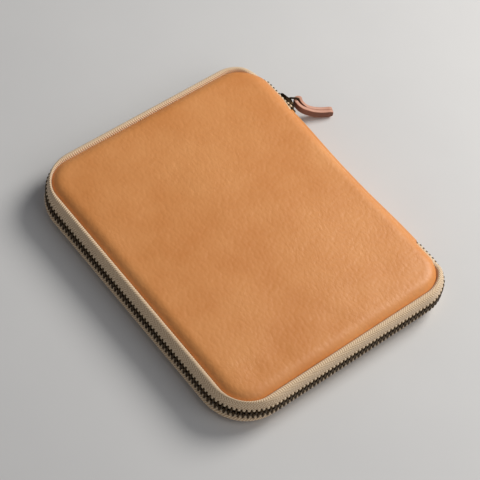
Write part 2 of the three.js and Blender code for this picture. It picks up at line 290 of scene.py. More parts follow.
def grid_faces(rows, columns, closed_rows=False, closed_columns=False):
    """Quads of a grid whose vertices run along the columns first."""
    faces = []
    for r in range(rows if closed_rows else rows - 1):
        for c in range(columns if closed_columns else columns - 1):
            r2 = (r + 1) % rows
            c2 = (c + 1) % columns
            faces.append((r * columns + c, r * columns + c2, r2 * columns + c2, r2 * columns + c))
    return faces


def tube_faces(rings, around):
    """Faces of a tube of rings of points, closed at both ends."""
    faces = grid_faces(rings, around, closed_columns=True)
    return faces + [tuple(range(around)), tuple(range((rings - 1) * around, rings * around))]


def ring(centre, first, second, radius, around):
    """Points of a circle in the plane of two unit directions, or an ellipse of scaled ones."""
    angles = [2 * math.pi * k / around for k in range(around)]
    return [centre + radius * (first * math.cos(a) + second * math.sin(a)) for a in angles]


def rectangle(low_x, high_x, low_y, high_y):
    """The four corners of a rectangle, in order round it."""
    return [(low_x, low_y), (high_x, low_y), (high_x, high_y), (low_x, high_y)]


def arc_points(centre_x, centre_y, radius, degrees):
    """Points on an arc at each of the angles, in degrees."""
    turns = [math.radians(angle) for angle in degrees]
    return [(centre_x + radius * math.cos(t), centre_y + radius * math.sin(t)) for t in turns]


def distance_along(points):
    """The distance to each point along the line of them all."""
    return np.r_[0, np.cumsum(np.linalg.norm(np.diff(points, axis=0), axis=1))]


def line_normals(line):
    """Unit normals of a line of points in a plane."""
    tangents = np.gradient(line, axis=0)
    tangents /= np.linalg.norm(tangents, axis=1)[:, None]
    return np.stack([-tangents[:, 1], tangents[:, 0]], 1)


def vertex_normals(points, faces):
    """Unit normals at the points of a mesh of quads."""
    quads = np.array(faces)
    a, b, c, d = (points[quads[:, i]] for i in range(4))
    face_normals = np.cross(c - a, d - b)
    normals = np.zeros_like(points)
    for i in range(4):
        np.add.at(normals, quads[:, i], face_normals)
    return normals / np.maximum(np.linalg.norm(normals, axis=1), 1e-9)[:, None]


def thicken(points, faces, thickness, outwards):
    """A closed skin: the sheet, its offset away from `outwards`, and the edge between them."""
    normals = vertex_normals(points, faces)
    if np.mean(np.einsum("ij,ij->i", normals, outwards)) < 0:
        normals = -normals
    count = len(points)
    everything = np.vstack([points, points - normals * np.asarray(thickness)[:, None]])
    uses = {}
    for face in faces:
        for i, a in enumerate(face):
            b = face[(i + 1) % len(face)]
            key = (min(a, b), max(a, b))
            uses[key] = uses.get(key, 0) + 1
    rim = [(a, b, b + count, a + count) for (a, b), n in uses.items() if n == 1]
    under = [tuple(v + count for v in reversed(face)) for face in faces]
    return everything, list(faces) + under + rim


def smooth_path(points, samples):
    """Points spread evenly along a Catmull-Rom curve through the given points."""
    points = np.asarray(points, float)
    last = len(points) - 1
    dense = []
    for i in range(last):
        p0, p1, p2, p3 = (points[min(max(k, 0), last)] for k in (i - 1, i, i + 1, i + 2))
        for t in np.linspace(0, 1, 12, endpoint=False):
            dense.append(0.5 * (
                2 * p1
                + (p2 - p0) * t
                + (2 * p0 - 5 * p1 + 4 * p2 - p3) * t * t
                + (3 * p1 - p0 - 3 * p2 + p3) * t**3
            ))
    dense = np.array([*dense, points[-1]])
    along = distance_along(dense)
    wanted = np.linspace(0, along[-1], samples)
    return np.stack([np.interp(wanted, along, column) for column in dense.T], 1)


def apply_modifiers(piece):
    """Replaces a piece's mesh by what its modifiers make of it."""
    graph = bpy.context.evaluated_depsgraph_get()
    made = bpy.data.meshes.new_from_object(piece.evaluated_get(graph))
    piece.modifiers.clear()
    piece.data = made


def join_meshes(name, parts):
    """One piece from several lists of (points, faces)."""
    points, faces, start = [], [], 0
    for part_points, part_faces in parts:
        points.append(np.asarray(part_points, float))
        faces.extend(tuple(int(v) + start for v in face) for face in part_faces)
        start += len(part_points)
    return new_piece(name, np.vstack(points), faces)


def bevelled(piece, width, segments=3):
    """The same piece with its sharp edges rounded."""
    bevel = piece.modifiers.new("bevel", "BEVEL")
    bevel.width = width * MM
    bevel.segments = segments
    bevel.limit_method = "ANGLE"
    bevel.angle_limit = math.radians(35)
    apply_modifiers(piece)
    shade_smooth(piece.data)
    return piece


# ---- Materials ---------------------------------------------------


def set_inputs(tree, target, inputs):
    """Links or sets a node's inputs; each value is a socket or a constant."""
    for key, value in inputs.items():
        if isinstance(value, bpy.types.NodeSocket):
            tree.links.new(value, target.inputs[key])
        else:
            target.inputs[key].default_value = value


def new_material(name):
    """A material, its node tree, its shader, and the object's own coordinates."""
    made = bpy.data.materials.new(name)
    made.use_nodes = True
    tree = made.node_tree
    place = node(tree, "ShaderNodeTexCoord").outputs["Object"]
    return made, tree, tree.nodes["Principled BSDF"], place


def node(tree, kind, inputs=None, **settings):
    """A new node with its settings, and with its inputs linked or set."""
    made = tree.nodes.new(kind)
    for key, value in settings.items():
        setattr(made, key, value)
    set_inputs(tree, made, inputs or {})
    return made


def math_node(tree, operation, *values):
    """The result of a math operation on up to three values."""
    inputs = dict(enumerate(values))
    return node(tree, "ShaderNodeMath", inputs, operation=operation).outputs[0]


def ramp(tree, factor, stops):
    """A colour ramp; each stop is a place and a grey level or a colour."""
    made = node(tree, "ShaderNodeValToRGB", {"Fac": factor})
    elements = made.color_ramp.elements
    while len(elements) < len(stops):
        elements.new(0.5)
    for element, (place, colour) in zip(elements, stops):
        element.position = place
        element.color = (colour, colour, colour, 1) if isinstance(colour, float) else (*colour, 1)
    return made.outputs["Color"]


def mix(tree, factor, first, second):
    """A blend of two colours, each a socket or three linear values."""
    sockets = (c if isinstance(c, bpy.types.NodeSocket) else (*c, 1) for c in (first, second))
    inputs = dict(zip((0, 6, 7), (factor, *sockets)))
    return node(tree, "ShaderNodeMix", inputs, data_type="RGBA").outputs[2]


def tinted(tree, tone, tint, where, amount):
    """A tone with up to `amount` of another colour where `where` is high."""
    return mix(tree, math_node(tree, "MULTIPLY", where, amount), tone, tint)


def mapped(tree, value, low, high):
    """A value of 0 to 1 as one between two others."""
    inputs = {"Value": value, "To Min": low, "To Max": high}
    return node(tree, "ShaderNodeMapRange", inputs).outputs[0]


def path_places(tree):
    """A strip's own coordinates, along and across, from its UV map."""
    path = node(tree, "ShaderNodeUVMap", uv_map="path").outputs["UV"]
    split = node(tree, "ShaderNodeSeparateXYZ", {0: path})
    return split.outputs[0], split.outputs[1]


def mix_vectors(tree, first, second, share):
    """A vector between two others."""
    inputs = {0: share, 4: first, 5: second}
    return node(tree, "ShaderNodeMix", inputs, data_type="VECTOR").outputs[1]


def linear(red, green, blue):
    """An sRGB colour in 0 to 255 as linear values."""
    values = (red / 255, green / 255, blue / 255)
    return tuple(v / 12.92 if v <= 0.04045 else ((v + 0.055) / 1.055) ** 2.4 for v in values)


def noise_of(tree, vector, size_mm, detail=3.0, roughness=0.5, distortion=0.0):
    """Noise from 0 to 1 with features of about the given size."""
    inputs = {
        "Vector": vector,
        "Scale": 1 / (size_mm * MM),
        "Detail": detail,
        "Roughness": roughness,
        "Distortion": distortion,
    }
    return node(tree, "ShaderNodeTexNoise", inputs).outputs["Fac"]


def bump(tree, height, depth_mm, strength=1.0, below=None):
    """A normal bent by a height from 0 to 1, on top of another bump where one is given."""
    inputs = {"Height": height, "Distance": depth_mm * MM, "Strength": strength}
    if below is not None:
        inputs["Normal"] = below
    return node(tree, "ShaderNodeBump", inputs).outputs["Normal"]


def leather(name, light, dark, pebble_mm=1.7, grain_depth=0.12, wrinkle_depth=0.06, roughness=0.45,
            cut_edge=None):
    """Leather with a pebble grain, stretched wrinkles in places, and a tone that drifts."""
    made, tree, bsdf, place = new_material(name)
    turned = node(tree, "ShaderNodeMapping", {
        "Vector": place,
        "Rotation": (0, 0, math.radians(-34)),
        "Scale": (1.0, 0.6, 1.0),
    }).outputs[0]
    cells = node(tree, "ShaderNodeTexVoronoi", {
        "Vector": mix_vectors(tree, place, turned, 0.5),
        "Scale": 1 / (pebble_mm * MM),
        "Randomness": 1.0,
    }, feature="SMOOTH_F1").outputs["Distance"]
    pebbles = ramp(tree, cells, [(0.0, 1.0), (0.35, 0.8), (0.75, 0.0)])
    fine = noise_of(tree, place, pebble_mm * 0.3, 2)
    wrinkles = noise_of(tree, turned, pebble_mm * 0.95, 3, 0.6, 0.6)
    where = ramp(tree, noise_of(tree, place, 44, 2), [(0.44, 0.08), (0.62, 0.85)])
    drift = ramp(tree, noise_of(tree, place, 38, 4, 0.6), [(0.3, 0.0), (0.72, 1.0)])
    speck = noise_of(tree, place, 2.2, 3, 0.65)
    tone = tinted(tree, mix(tree, drift, dark, light), dark, speck, 0.2)
    if cut_edge is not None:
        across = math_node(tree, "ABSOLUTE", path_places(tree)[1])
        tone = mix(tree, ramp(tree, across, [(0.8, 0.0), (0.9, 1.0)]), tone, cut_edge)
    shape = bump(tree, fine, grain_depth * 0.3, 0.6)
    shape = bump(tree, pebbles, grain_depth, 0.7, shape)
    folds = math_node(tree, "MULTIPLY", wrinkles, where)
    set_inputs(tree, bsdf, {
        "Base Color": tone,
        "Roughness": mapped(tree, speck, roughness - 0.06, roughness + 0.08),
        "Normal": bump(tree, folds, wrinkle_depth * 5, 0.7, shape),
        "Specular IOR Level": 0.45,
    })
    return made


def suede(name, light, dark, nap_mm=0.35):
    """Suede: a fine nap, brushed one way and the other in soft patches."""
    made, tree, bsdf, place = new_material(name)
    nap = noise_of(tree, place, nap_mm, 4, 0.7)
    brushed = ramp(tree, noise_of(tree, place, 14, 3, 0.6, 0.8), [(0.35, 0.0), (0.68, 1.0)])
    set_inputs(tree, bsdf, {
        "Base Color": tinted(tree, mix(tree, brushed, dark, light), dark, nap, 0.3),
        "Normal": bump(tree, nap, 0.12, 0.7),
        "Roughness": 0.95,
        "Sheen Weight": 0.35,
        "Sheen Roughness": 0.5,
        "Specular IOR Level": 0.2,
    })
    return made


def woven_tape(name, light, dark, rib_mm=1.3, column_mm=2.1):
    """Herringbone cotton: ribs along the tape that lean one way, then the other, across it."""
    made, tree, bsdf, place = new_material(name)
    along, across = path_places(tree)
    slant = math_node(tree, "PINGPONG", across, column_mm)
    phase = math_node(tree, "ADD", along, math_node(tree, "MULTIPLY", slant, 0.8))
    turns = math_node(tree, "MULTIPLY", phase, 2 * math.pi / rib_mm)
    ribs = math_node(tree, "MULTIPLY_ADD", math_node(tree, "SINE", turns), 0.5, 0.5)
    fibres = noise_of(tree, place, 0.4, 3, 0.7)
    soil = noise_of(tree, place, 12, 3, 0.6)
    # The weave's colour is lighter on the ribs and darker between them: painted light and shade of the
    # ribs' relief, on top of the bump.
    tone = tinted(tree, mix(tree, ribs, dark, light), dark, fibres, 0.25)
    shape = bump(tree, fibres, 0.08, 0.6)
    set_inputs(tree, bsdf, {
        "Base Color": tinted(tree, tone, dark, soil, 0.18),
        "Normal": bump(tree, ribs, 0.16, 0.8, shape),
        "Roughness": 0.88,
        "Sheen Weight": 0.25,
        "Specular IOR Level": 0.25,
    })
    return made


def plain_fibre(name, light, dark, size_mm, roughness, depth_mm, strength=0.5, detail=4):
    """Thread, pressed board or foam: a matt surface with a random fleck, fibre or cell."""
    made, tree, bsdf, place = new_material(name)
    fleck = noise_of(tree, place, size_mm, detail, 0.7)
    set_inputs(tree, bsdf, {
        "Base Color": mix(tree, fleck, dark, light),
        "Normal": bump(tree, fleck, depth_mm, strength),
        "Roughness": roughness,
    })
    return made


def cotton(name, light, dark):
    """Plain cotton thread, for beads and stitches."""
    return plain_fibre(name, light, dark, 0.35, 0.85, 0.1, 0.6, 3)


def antique_brass(name):
    """Blackened brass whose edges are rubbed back to the metal."""
    made, tree, bsdf, place = new_material(name)
    edge = node(tree, "ShaderNodeNewGeometry").outputs["Pointiness"]
    worn = ramp(tree, edge, [(0.5, 0.0), (0.58, 1.0)])
    patches = ramp(tree, noise_of(tree, place, 1.6, 4, 0.65), [(0.4, 0.0), (0.75, 1.0)])
    dark = mix(tree, patches, linear(20, 17, 14), linear(38, 30, 23))
    set_inputs(tree, bsdf, {
        "Base Color": tinted(tree, dark, linear(140, 108, 66), worn, 0.25),
        "Roughness": mapped(tree, patches, 0.36, 0.55),
        "Normal": bump(tree, noise_of(tree, place, 0.5, 3), 0.03, 0.5),
        "Metallic": 0.85,
    })
    return made


TAN = leather("tan_leather", linear(229, 158, 94), linear(211, 134, 68))
LOOP_TAN = leather("loop_leather", linear(202, 140, 86), linear(180, 118, 68), 0.9, 0.06, 0.03, 0.55)
PINK_TAN = leather("tab_leather", linear(140, 88, 62), linear(112, 66, 44), 0.8, 0.06, 0.03, 0.5,
                   linear(198, 146, 122))
LINING = suede("lining_suede", linear(198, 158, 116), linear(180, 140, 100))
TAPE = woven_tape("zip_tape_cotton", linear(254, 232, 200), linear(198, 162, 122))
BEAD = cotton("bead_cotton", linear(250, 230, 200), linear(206, 176, 138))
THREAD = cotton("thread", linear(236, 220, 192), linear(198, 174, 140))
BRASS = antique_brass("antique_brass")
BOARD = plain_fibre("fibre_board", linear(140, 120, 96), linear(104, 86, 66), 0.8, 0.9, 0.16)
FOAM = plain_fibre("foam", linear(228, 222, 210), linear(200, 192, 178), 0.5, 1.0, 0.1)


def finish_piece(piece, material, nodes_replaced=()):
    """Gives a piece its material and slot, and hides the CAD nodes that it stands for."""
    piece.data.materials.clear()
    piece.data.materials.append(material)
    if nodes_replaced:
        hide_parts(*nodes_replaced)


# ---- Cover leather -----------------------------------------------


def clustered(half, edge_step, middle_step, growth=1.22):
    """Places from -half to half, close together at both ends."""
    places = [half]
    step = edge_step
    while places[-1] - step > middle_step / 2:
        places.append(places[-1] - step)
        step = min(step * growth, middle_step)
    places = np.array(places)
    places = (places - places[-1]) * half / (half - places[-1])
    return np.r_[-places, places[-2::-1]]


def into_rounded_outline(x, y):
    """Draws a rectangle's points in so that its edge lands on the seam's rounded outline."""
    reach = np.maximum(np.abs(x) / HALF_WIDTH, np.abs(y) / HALF_LENGTH)
    safe = np.maximum(reach, 1e-9)
    edge_x, edge_y = np.abs(x) / safe, np.abs(y) / safe
    cx, cy = HALF_WIDTH - SEAM_RADIUS, HALF_LENGTH - SEAM_RADIUS
    a = np.maximum(edge_x**2 + edge_y**2, 1e-9)
    b = -2 * (edge_x * cx + edge_y * cy)
    c = cx**2 + cy**2 - SEAM_RADIUS**2
    root = (-b + np.sqrt(np.maximum(b * b - 4 * a * c, 0))) / (2 * a)
    in_corner = (edge_x > cx) & (edge_y > cy)
    share = np.where(in_corner, np.minimum(root, 1), 1)
    scale = 1 - (1 - share) * reach**7
    return x * scale, y * scale


def soft_noise(x, y, size_x, size_y, layer):
    """Smooth noise over a plane, about -1 to 1, with features of the given sizes."""
    return noise.noise(Vector((x / size_x, y / size_y, layer)))


def waviness(x, y):
    """Soft rises and dips of padded leather, and the small wrinkles of the hide, in millimetres."""
    values = []
    for px, py in zip(x, y):
        broad = soft_noise(px, py, 46, 46, 3.1) * 0.4
        medium = soft_noise(px, py, 17, 21, 8.7) * 0.14
        patch = max(0.0, soft_noise(px, py, 40, 40, 5.5) + 0.25)
        fold = abs(noise.noise(Vector((px / 5.5 + py / 16, py / 9, 1.7))))
        near_edge = max(0.0, 1 - abs(py + 74) / 16)
        dents = soft_noise(px, py, 13, 30, 6.2) * near_edge * 0.5
        values.append(broad + medium + dents - patch * max(0.0, 0.16 - fold) * 0.6)
    return np.array(values)


def roll(distance):
    """Share of the full height, rising steeply from the seam."""
    return 1 - (1 - np.clip(distance / ROLL_WIDTH, 0, 1)) ** ROLL_POWER


def spine_curve():
    """The line from the cover's flat top over the spine's shoulder down to the mid-plane, by the
    distance along it."""
    angles = np.linspace(0, math.pi / 2, 400)
    shoulder = SPINE_OUT - SPINE_DEPTH
    x = shoulder + SPINE_DEPTH * np.sin(angles) ** (2 / SPINE_POWER)
    z = HALF_THICKNESS * np.cos(angles) ** (2 / SPINE_POWER)
    x = np.r_[HALF_WIDTH - TURN_WIDTH, x]
    z = np.r_[HALF_THICKNESS, z]
    return distance_along(np.stack([x, z], 1)), x, z


SPINE_ALONG, SPINE_CURVE_X, SPINE_CURVE_Z = spine_curve()


def cover_grid(inset, edge_step, middle_step):
    """A grid over a cover, its edge drawn in by `inset`, closer near the edge: x, y, how far in
    from the seam each point would lie without the inset, and the rows and columns."""
    xs = clustered(HALF_WIDTH - inset, edge_step, middle_step)
    ys = clustered(HALF_LENGTH - inset, edge_step, middle_step)
    scale_x = HALF_WIDTH / (HALF_WIDTH - inset)
    scale_y = HALF_LENGTH / (HALF_LENGTH - inset)
    gx, gy = np.meshgrid(xs * scale_x, ys * scale_y)
    x, y = into_rounded_outline(gx.ravel(), gy.ravel())
    return x / scale_x, y / scale_y, inset_from_seam(x, y), len(ys), len(xs)


def cover_sheet():
    """Outer surface of the front cover up to its seam; on the spine side it turns down."""
    x, y, distance, rows, columns = cover_grid(0, 0.12, 1.15)
    nx, ny = outward_from_seam(x, y)
    height = SEAM_HEIGHT + (HALF_THICKNESS - SEAM_HEIGHT) * roll(distance)
    crown = DOME * np.cos(x / HALF_WIDTH * math.pi / 2) * np.cos(y / HALF_LENGTH * math.pi / 2)
    soft = crown + waviness(x, y) * np.clip(distance / 12, 0, 1) ** 1.5
    # Along the spine side the same points lie on the spine's shoulder instead.
    turn = 1 - np.minimum(distance, TURN_WIDTH) / TURN_WIDTH
    turned_x = np.interp(turn * TURN_LENGTH, SPINE_ALONG, SPINE_CURVE_X)
    turned_z = np.interp(turn * TURN_LENGTH, SPINE_ALONG, SPINE_CURVE_Z)
    outside = turned_x - HALF_WIDTH + spine_offset(y) * turn**1.5
    share = wrap_share(y, nx)
    push = share * (outside + np.minimum(distance, TURN_WIDTH)) * (turn > 0)
    height = height + share * (turned_z - height)
    return np.stack([x + nx * push, y + ny * push, height + soft], 1), rows, columns


def skived(points):
    """The leather's thickness at each point, which gets thinner towards the seam."""
    share = np.clip(inset_from_seam(points[:, 0], points[:, 1]) / SKIVE_WIDTH, 0, 1)
    return LEATHER_EDGE + (LEATHER_THICKNESS - LEATHER_EDGE) * share


def strip_below(points, faces, edge, rows):
    """Adds rows of points below an edge, and the faces between them."""
    first = len(points)
    points = np.vstack([points, *rows])
    width = len(edge)
    lines = [edge] + [
        list(range(first + k * width, first + (k + 1) * width)) for k in range(len(rows))
    ]
    for upper, lower in zip(lines, lines[1:]):
        for i in range(width - 1):
            faces.append((upper[i], upper[i + 1], lower[i + 1], lower[i]))
    return points, faces


def spine_side_edge(points, rows, columns):
    """The sheet's last column, where the leather or lining goes on round the spine."""
    edge = [r * columns + columns - 1 for r in range(rows)]
    return [v for v in edge if SPINE_NEAR - 0.5 <= points[v, 1] <= SPINE_FAR + 0.5]


def front_leather():
    """The front cover's leather, which goes on round the spine's face."""
    points, rows, columns = cover_sheet()
    faces = grid_faces(rows, columns)
    edge = spine_side_edge(points, rows, columns)
    y = points[edge][:, 1]
    total = SPINE_ALONG[-1]
    below = total - np.interp(SPINE_JOIN_DEPTH, -SPINE_CURVE_Z, SPINE_ALONG)
    strip = []
    for distance in np.linspace(TURN_LENGTH, total + below, 26)[1:]:
        # Past the mid-plane, the curve is followed back and its height turned over.
        folded = total - abs(distance - total)
        x = np.interp(folded, SPINE_ALONG, SPINE_CURVE_X)
        z = np.interp(folded, SPINE_ALONG, SPINE_CURVE_Z) * (-1 if distance > total else 1)
        ripple = np.array([soft_noise(v, distance, 26, 9, 9.2) for v in y])
        strip.append(np.stack([x + spine_offset(y) + 0.16 * ripple, y, np.full(len(edge), z)], 1))
    first = len(points)
    points, faces = strip_below(points, faces, edge, strip)
    thickness = skived(points)
    thickness[first:] = LEATHER_THICKNESS
    thickness[edge] = LEATHER_THICKNESS
    outwards = np.tile([0.0, 0.0, 1.0], (len(points), 1))
    outwards[first:] = [1.0, 0.0, 0.0]
    piece = new_piece("front_leather", *thicken(points, faces, thickness, outwards))
    finish_piece(piece, TAN, ["front_cover_leather", "spine_leather"])
    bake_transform(piece)


def back_leather():
    """The back cover's leather: the same sheet turned over, and pressed flat on the table."""
    points, rows, columns = cover_sheet()
    height = points[:, 2]
    pressed = smooth_share(height, HALF_THICKNESS - 0.8, HALF_THICKNESS - 0.1)
    points[:, 2] = -np.minimum(height + (HALF_THICKNESS - height) * pressed, HALF_THICKNESS)
    outwards = np.tile([0.0, 0.0, -1.0], (len(points), 1))
    skin, faces = thicken(points, grid_faces(rows, columns), skived(points), outwards)
    piece = new_piece("back_leather", skin, faces)
    finish_piece(piece, TAN, ["back_cover_leather"])
    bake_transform(piece)


# ---- Zip tape, beads and teeth -----------------------------------

# The tape's section, by distance outside the seam and height: its outer face from the leather
# over the crest to the teeth, and its inner face back again.
TAPE_OUTER = [
    (-1.4, 7.0), (-0.4, 7.1), (0.05, 7.65), (0.4, 8.75), (0.95, 9.65), (1.75, 9.95), (2.6, 9.7),
    (3.4, 8.85), (4.05, 7.6), (4.5, 6.2), (4.75, 4.8), (4.75, 3.2),
]
TAPE_INNER = [
    (3.9, 3.1), (3.95, 4.6), (3.7, 5.9), (3.2, 7.2), (2.6, 8.3), (1.9, 8.95), (1.3, 8.8),
    (0.95, 7.9), (0.5, 7.05), (-0.4, 6.7), (-1.4, 6.6),
]
# Along the spine the tape is squashed under the leather and drawn in; the pairs are where this
# sets in and fades out, along the case and in height.
SPINE_SQUASH = 0.62
SPINE_DRAW_IN = 2.2
DRAW_NEAR = (-84.0, -72.0)
DRAW_FAR = (66.0, 80.0)
DRAW_HEIGHTS = (3.4, 6.4)
# The lower tape's belly on the long open side, and the heights between which it swells.
BACK_BULGE = 1.5
BELLY_RISE = (2.9, 5.2)
BELLY_FALL = (6.0, 8.6)
# The tape's ends go on past the teeth and turn in behind the spine's leather.
END_TUCK = 5.0
END_TURN_IN = 5.5

# The cord in the tape's edge, which swells between the teeth; it is wider than it is deep.
BEAD_HEIGHT = 3.2
BEAD_RADIUS = 0.5
BEAD_SWELL = 0.42
BEAD_DEPTH_SHARE = 0.95
BEAD_WIDTH_SHARE = 1.3
# Beside the slider, each row of teeth is parted from the middle up to this place.
PARTING = 0.9
PARTING_END = (53, 59)


def sweep_round_rim(section, spacing, near_end, far_end):
    """Sweeps (outside, height) points round the zip: points by station, normals, distances."""
    rails = [rim_rail(outside, spacing, near_end, far_end) for outside, _ in section]
    stack = np.stack(rails, 1)
    heights = np.broadcast_to([height for _, height in section], stack.shape[:2])
    points = np.dstack([stack[:, :, :2], heights])
    middle = rim_rail(CHAIN_OUT / 2, spacing, near_end, far_end)
    return points, stack[:, :, 2:], distance_along(middle[:, :2])


def zip_tape(side):
    """The woven tape, rolled over its seam. Along the spine it dives under the leather."""
    section = smooth_path(TAPE_OUTER, 36).tolist() + smooth_path(TAPE_INNER, 24).tolist()
    near_end, far_end = NEAR_STUB_END + END_TUCK, FAR_STUB_END - END_TUCK
    points, normals, along = sweep_round_rim(section, 1.2, near_end, far_end)
    stations, count = points.shape[:2]
    # These two are views, so they follow what is done to the points.
    y = points[:, :, 1]
    height = points[:, :, 2]
    outward_x = normals[:, :, 0]
    height -= SPINE_SQUASH * wrap_share(y, outward_x) * np.maximum(height - BEAD_HEIGHT, 0)
    drawn = hill(y, DRAW_NEAR, DRAW_FAR) * spine_side_share(outward_x)
    points[:, :, 0] -= SPINE_DRAW_IN * drawn * smooth_share(height, *DRAW_HEIGHTS)
    if side < 0:
        belly = BACK_BULGE * hill(height, BELLY_RISE, BELLY_FALL)
        belly = belly * smooth_share(-outward_x, -0.1, 0.8)
        points[:, :, :2] += normals * belly[:, :, None]
    end = smooth_share(y, NEAR_STUB_END - 1, near_end) * (y < 0)
    end = end + (1 - smooth_share(y, far_end, FAR_STUB_END + 1)) * (y > 0)
    points[:, :, 0] -= np.where(outward_x > 0.99, end * END_TURN_IN, 0)
    uvs = np.stack(np.meshgrid(distance_along(section), along), 2)[:, :, ::-1].reshape(-1, 2)
    height *= side
    half = half_name(side)
    piece = new_piece(f"{half}_tape", points.reshape(-1, 3), tube_faces(stations, count), uvs)
    replaced = [f"{half}_zip_tape", f"near_end_tape_{half}", f"far_end_tape_{half}"]
    finish_piece(piece, TAPE, replaced)
    fold_with_spine(piece)


def fold_with_spine(piece):
    """Bakes a zip part's placing into its mesh."""
    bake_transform(piece)


def chain_line():
    """The middle of the teeth: places with outward normals, and distance along."""
    line = rim_rail(CHAIN_OUT, 0.4, NEAR_STUB_END, FAR_STUB_END)
    return line, distance_along(line[:, :2])


CHAIN, CHAIN_ALONG = chain_line()


def chain_place(distance):
    """Place, outward normal and direction of the chain at a distance along it."""
    x, y, nx, ny = (np.interp(distance, CHAIN_ALONG, CHAIN[:, k]) for k in range(4))
    length = math.hypot(nx, ny)
    nx, ny = nx / length, ny / length
    return np.array([x, y]), np.array([nx, ny]), np.array([-ny, nx])


def parting(place):
    """How far each row of teeth is parted from the middle, inside the slider and behind it."""
    if place[0] < HALF_WIDTH or place[1] < 0:
        return 0.0
    return PARTING * (1 - float(smooth_share(place[1], *PARTING_END)))


def bead(side):
    """The cord in the tape's edge: it swells between the teeth that are clamped on it."""
    count = int(CHAIN_ALONG[-1] / (TOOTH_PITCH / 6))
    around = 10
    rings = []
    offset = 0.5 if side < 0 else 0.0
    for i in range(count + 1):
        distance = i * CHAIN_ALONG[-1] / count
        place, normal, _ = chain_place(distance)
        swell = 0.5 - 0.5 * math.cos(2 * math.pi * (distance / TOOTH_PITCH - offset))
        radius = BEAD_RADIUS + BEAD_SWELL * swell
        centre = np.array([*place, side * (BEAD_HEIGHT + parting(place))])
        outwards = np.array([*normal, 0]) * BEAD_DEPTH_SHARE
        upwards = np.array([0, 0, side * BEAD_WIDTH_SHARE])
        rings += ring(centre, outwards, upwards, radius, around)
    piece = new_piece(f"{half_name(side)}_bead", rings, tube_faces(count + 1, around))
    finish_piece(piece, BEAD)
    fold_with_spine(piece)


# A tooth's outline at each height: half its width along the zip, and its depth from the middle.
# Its corners are cut by a share of the smaller half size.
TOOTH_CUT = 0.45
TOOTH_LEVELS = [
    (3.95, 0.3, 0.55), (3.75, 0.5, 1.05), (3.3, 0.58, 1.26), (1.0, 0.62, 1.3), (0.5, 0.52, 1.15),
    (-0.2, 0.5, 1.08), (-0.62, 0.44, 0.88), (-0.8, 0.22, 0.48),
]


def tooth_shape():
    """One tooth as rings of eight points, in places along the zip, outwards and up."""
    cut = TOOTH_CUT
    corners = [
        (1, cut), (cut, 1), (-cut, 1), (-1, cut), (-1, -cut), (-cut, -1), (cut, -1), (1, -cut),
    ]
    rings = []
    for height, half_width, half_depth in TOOTH_LEVELS:
        small = min(half_width, half_depth)
        for u, v in corners:
            across = u * half_width if abs(u) == 1 else math.copysign(half_width - small * cut, u)
            deep = v * half_depth if abs(v) == 1 else math.copysign(half_depth - small * cut, v)
            rings.append((across, deep, height))
    return np.array(rings), tube_faces(len(TOOTH_LEVELS), len(corners))


def teeth_row(side):
    """One half's row of teeth; the back row is half a pitch on, so that the rows mesh."""
    shape, shape_faces = tooth_shape()
    offset = 0.0 if side > 0 else 0.5
    count = int(CHAIN_ALONG[-1] / TOOTH_PITCH - offset)
    parts = []
    for i in range(count + 1):
        distance = (i + offset) * TOOTH_PITCH
        place, normal, direction = chain_place(min(distance, CHAIN_ALONG[-1]))
        flat = place + shape[:, :1] * direction + shape[:, 1:2] * normal
        parts.append((np.column_stack([flat, side * (shape[:, 2] + parting(place))]), shape_faces))
    half = half_name(side)
    piece = join_meshes(f"{half}_teeth", parts)
    replaced = [f"{half}_zip_teeth", f"far_end_teeth_{half}"]
    if side > 0:
        replaced.append("near_end_teeth")
    finish_piece(piece, BRASS, replaced)
    fold_with_spine(piece)


def stop_piece(name):
    """A stop of the zip; the one at the near end is pulled in with the zip."""
    low, high = box_from_mid(name)
    pulled_in = NEAR_PULL_IN if high[1] < 0 else 0.0
    outline = rectangle(low[0] - pulled_in, high[0] - pulled_in, low[1], high[1])
    piece = bevelled(new_piece(f"{name}_metal", *slab(outline, low[2], high[2])), 0.45, 4)
    finish_piece(piece, BRASS, [name])
    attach(piece, "spine")


# ---- Slider, link and pull tab -----------------------------------


def slab(outline, low, high):
    """A prism of an outline in two axes between two values of the third: (points, faces)."""
    count = len(outline)
    points = [(*p, low) for p in outline] + [(*p, high) for p in outline]
    faces = [tuple(range(count)), tuple(range(2 * count - 1, count - 1, -1))]
    for i in range(count):
        j = (i + 1) % count
        faces.append((i, j, count + j, count + i))
    return np.array(points, float), faces


def rounded(outline, reach, steps=4):
    """An outline with its corners rounded by arcs that start `reach` before each corner."""
    outline = np.array(outline, float)
    made = []
    for i, corner in enumerate(outline):
        before = outline[i - 1] - corner
        after = outline[(i + 1) % len(outline)] - corner
        cut = min(reach, np.linalg.norm(before) / 2.1, np.linalg.norm(after) / 2.1)
        start = corner + before / np.linalg.norm(before) * cut
        end = corner + after / np.linalg.norm(after) * cut
        for k in range(steps + 1):
            t = k / steps
            made.append((1 - t) ** 2 * start + 2 * t * (1 - t) * corner + t * t * end)
    return [tuple(p) for p in made]


# The slider's pieces, from the middle of the chain: along the zip, across it, and outwards.
PLATE_OUTLINE = [
    (-6, -3.0), (-5, -5), (0, -5), (4.5, -3.9), (6, -2.8),
    (6, 2.8), (4.5, 3.9), (0, 5), (-5, 5), (-6, 3.0),
]
PLATES_OUT = [(-2.8, -1.75), (1.65, 2.7)]
FLANGE_ALONG = (-5.2, 0.2)
FLANGE_ACROSS = (4.2, 4.95)
FLANGE_OUT = (0.7, 1.9)
POST_ALONG = (-5.6, -3.0)
POST_ACROSS = (-0.4, 0.4)
POST_OUT = (-1.9, 1.8)
BRIDGE_ACROSS = (-1.6, 1.6)
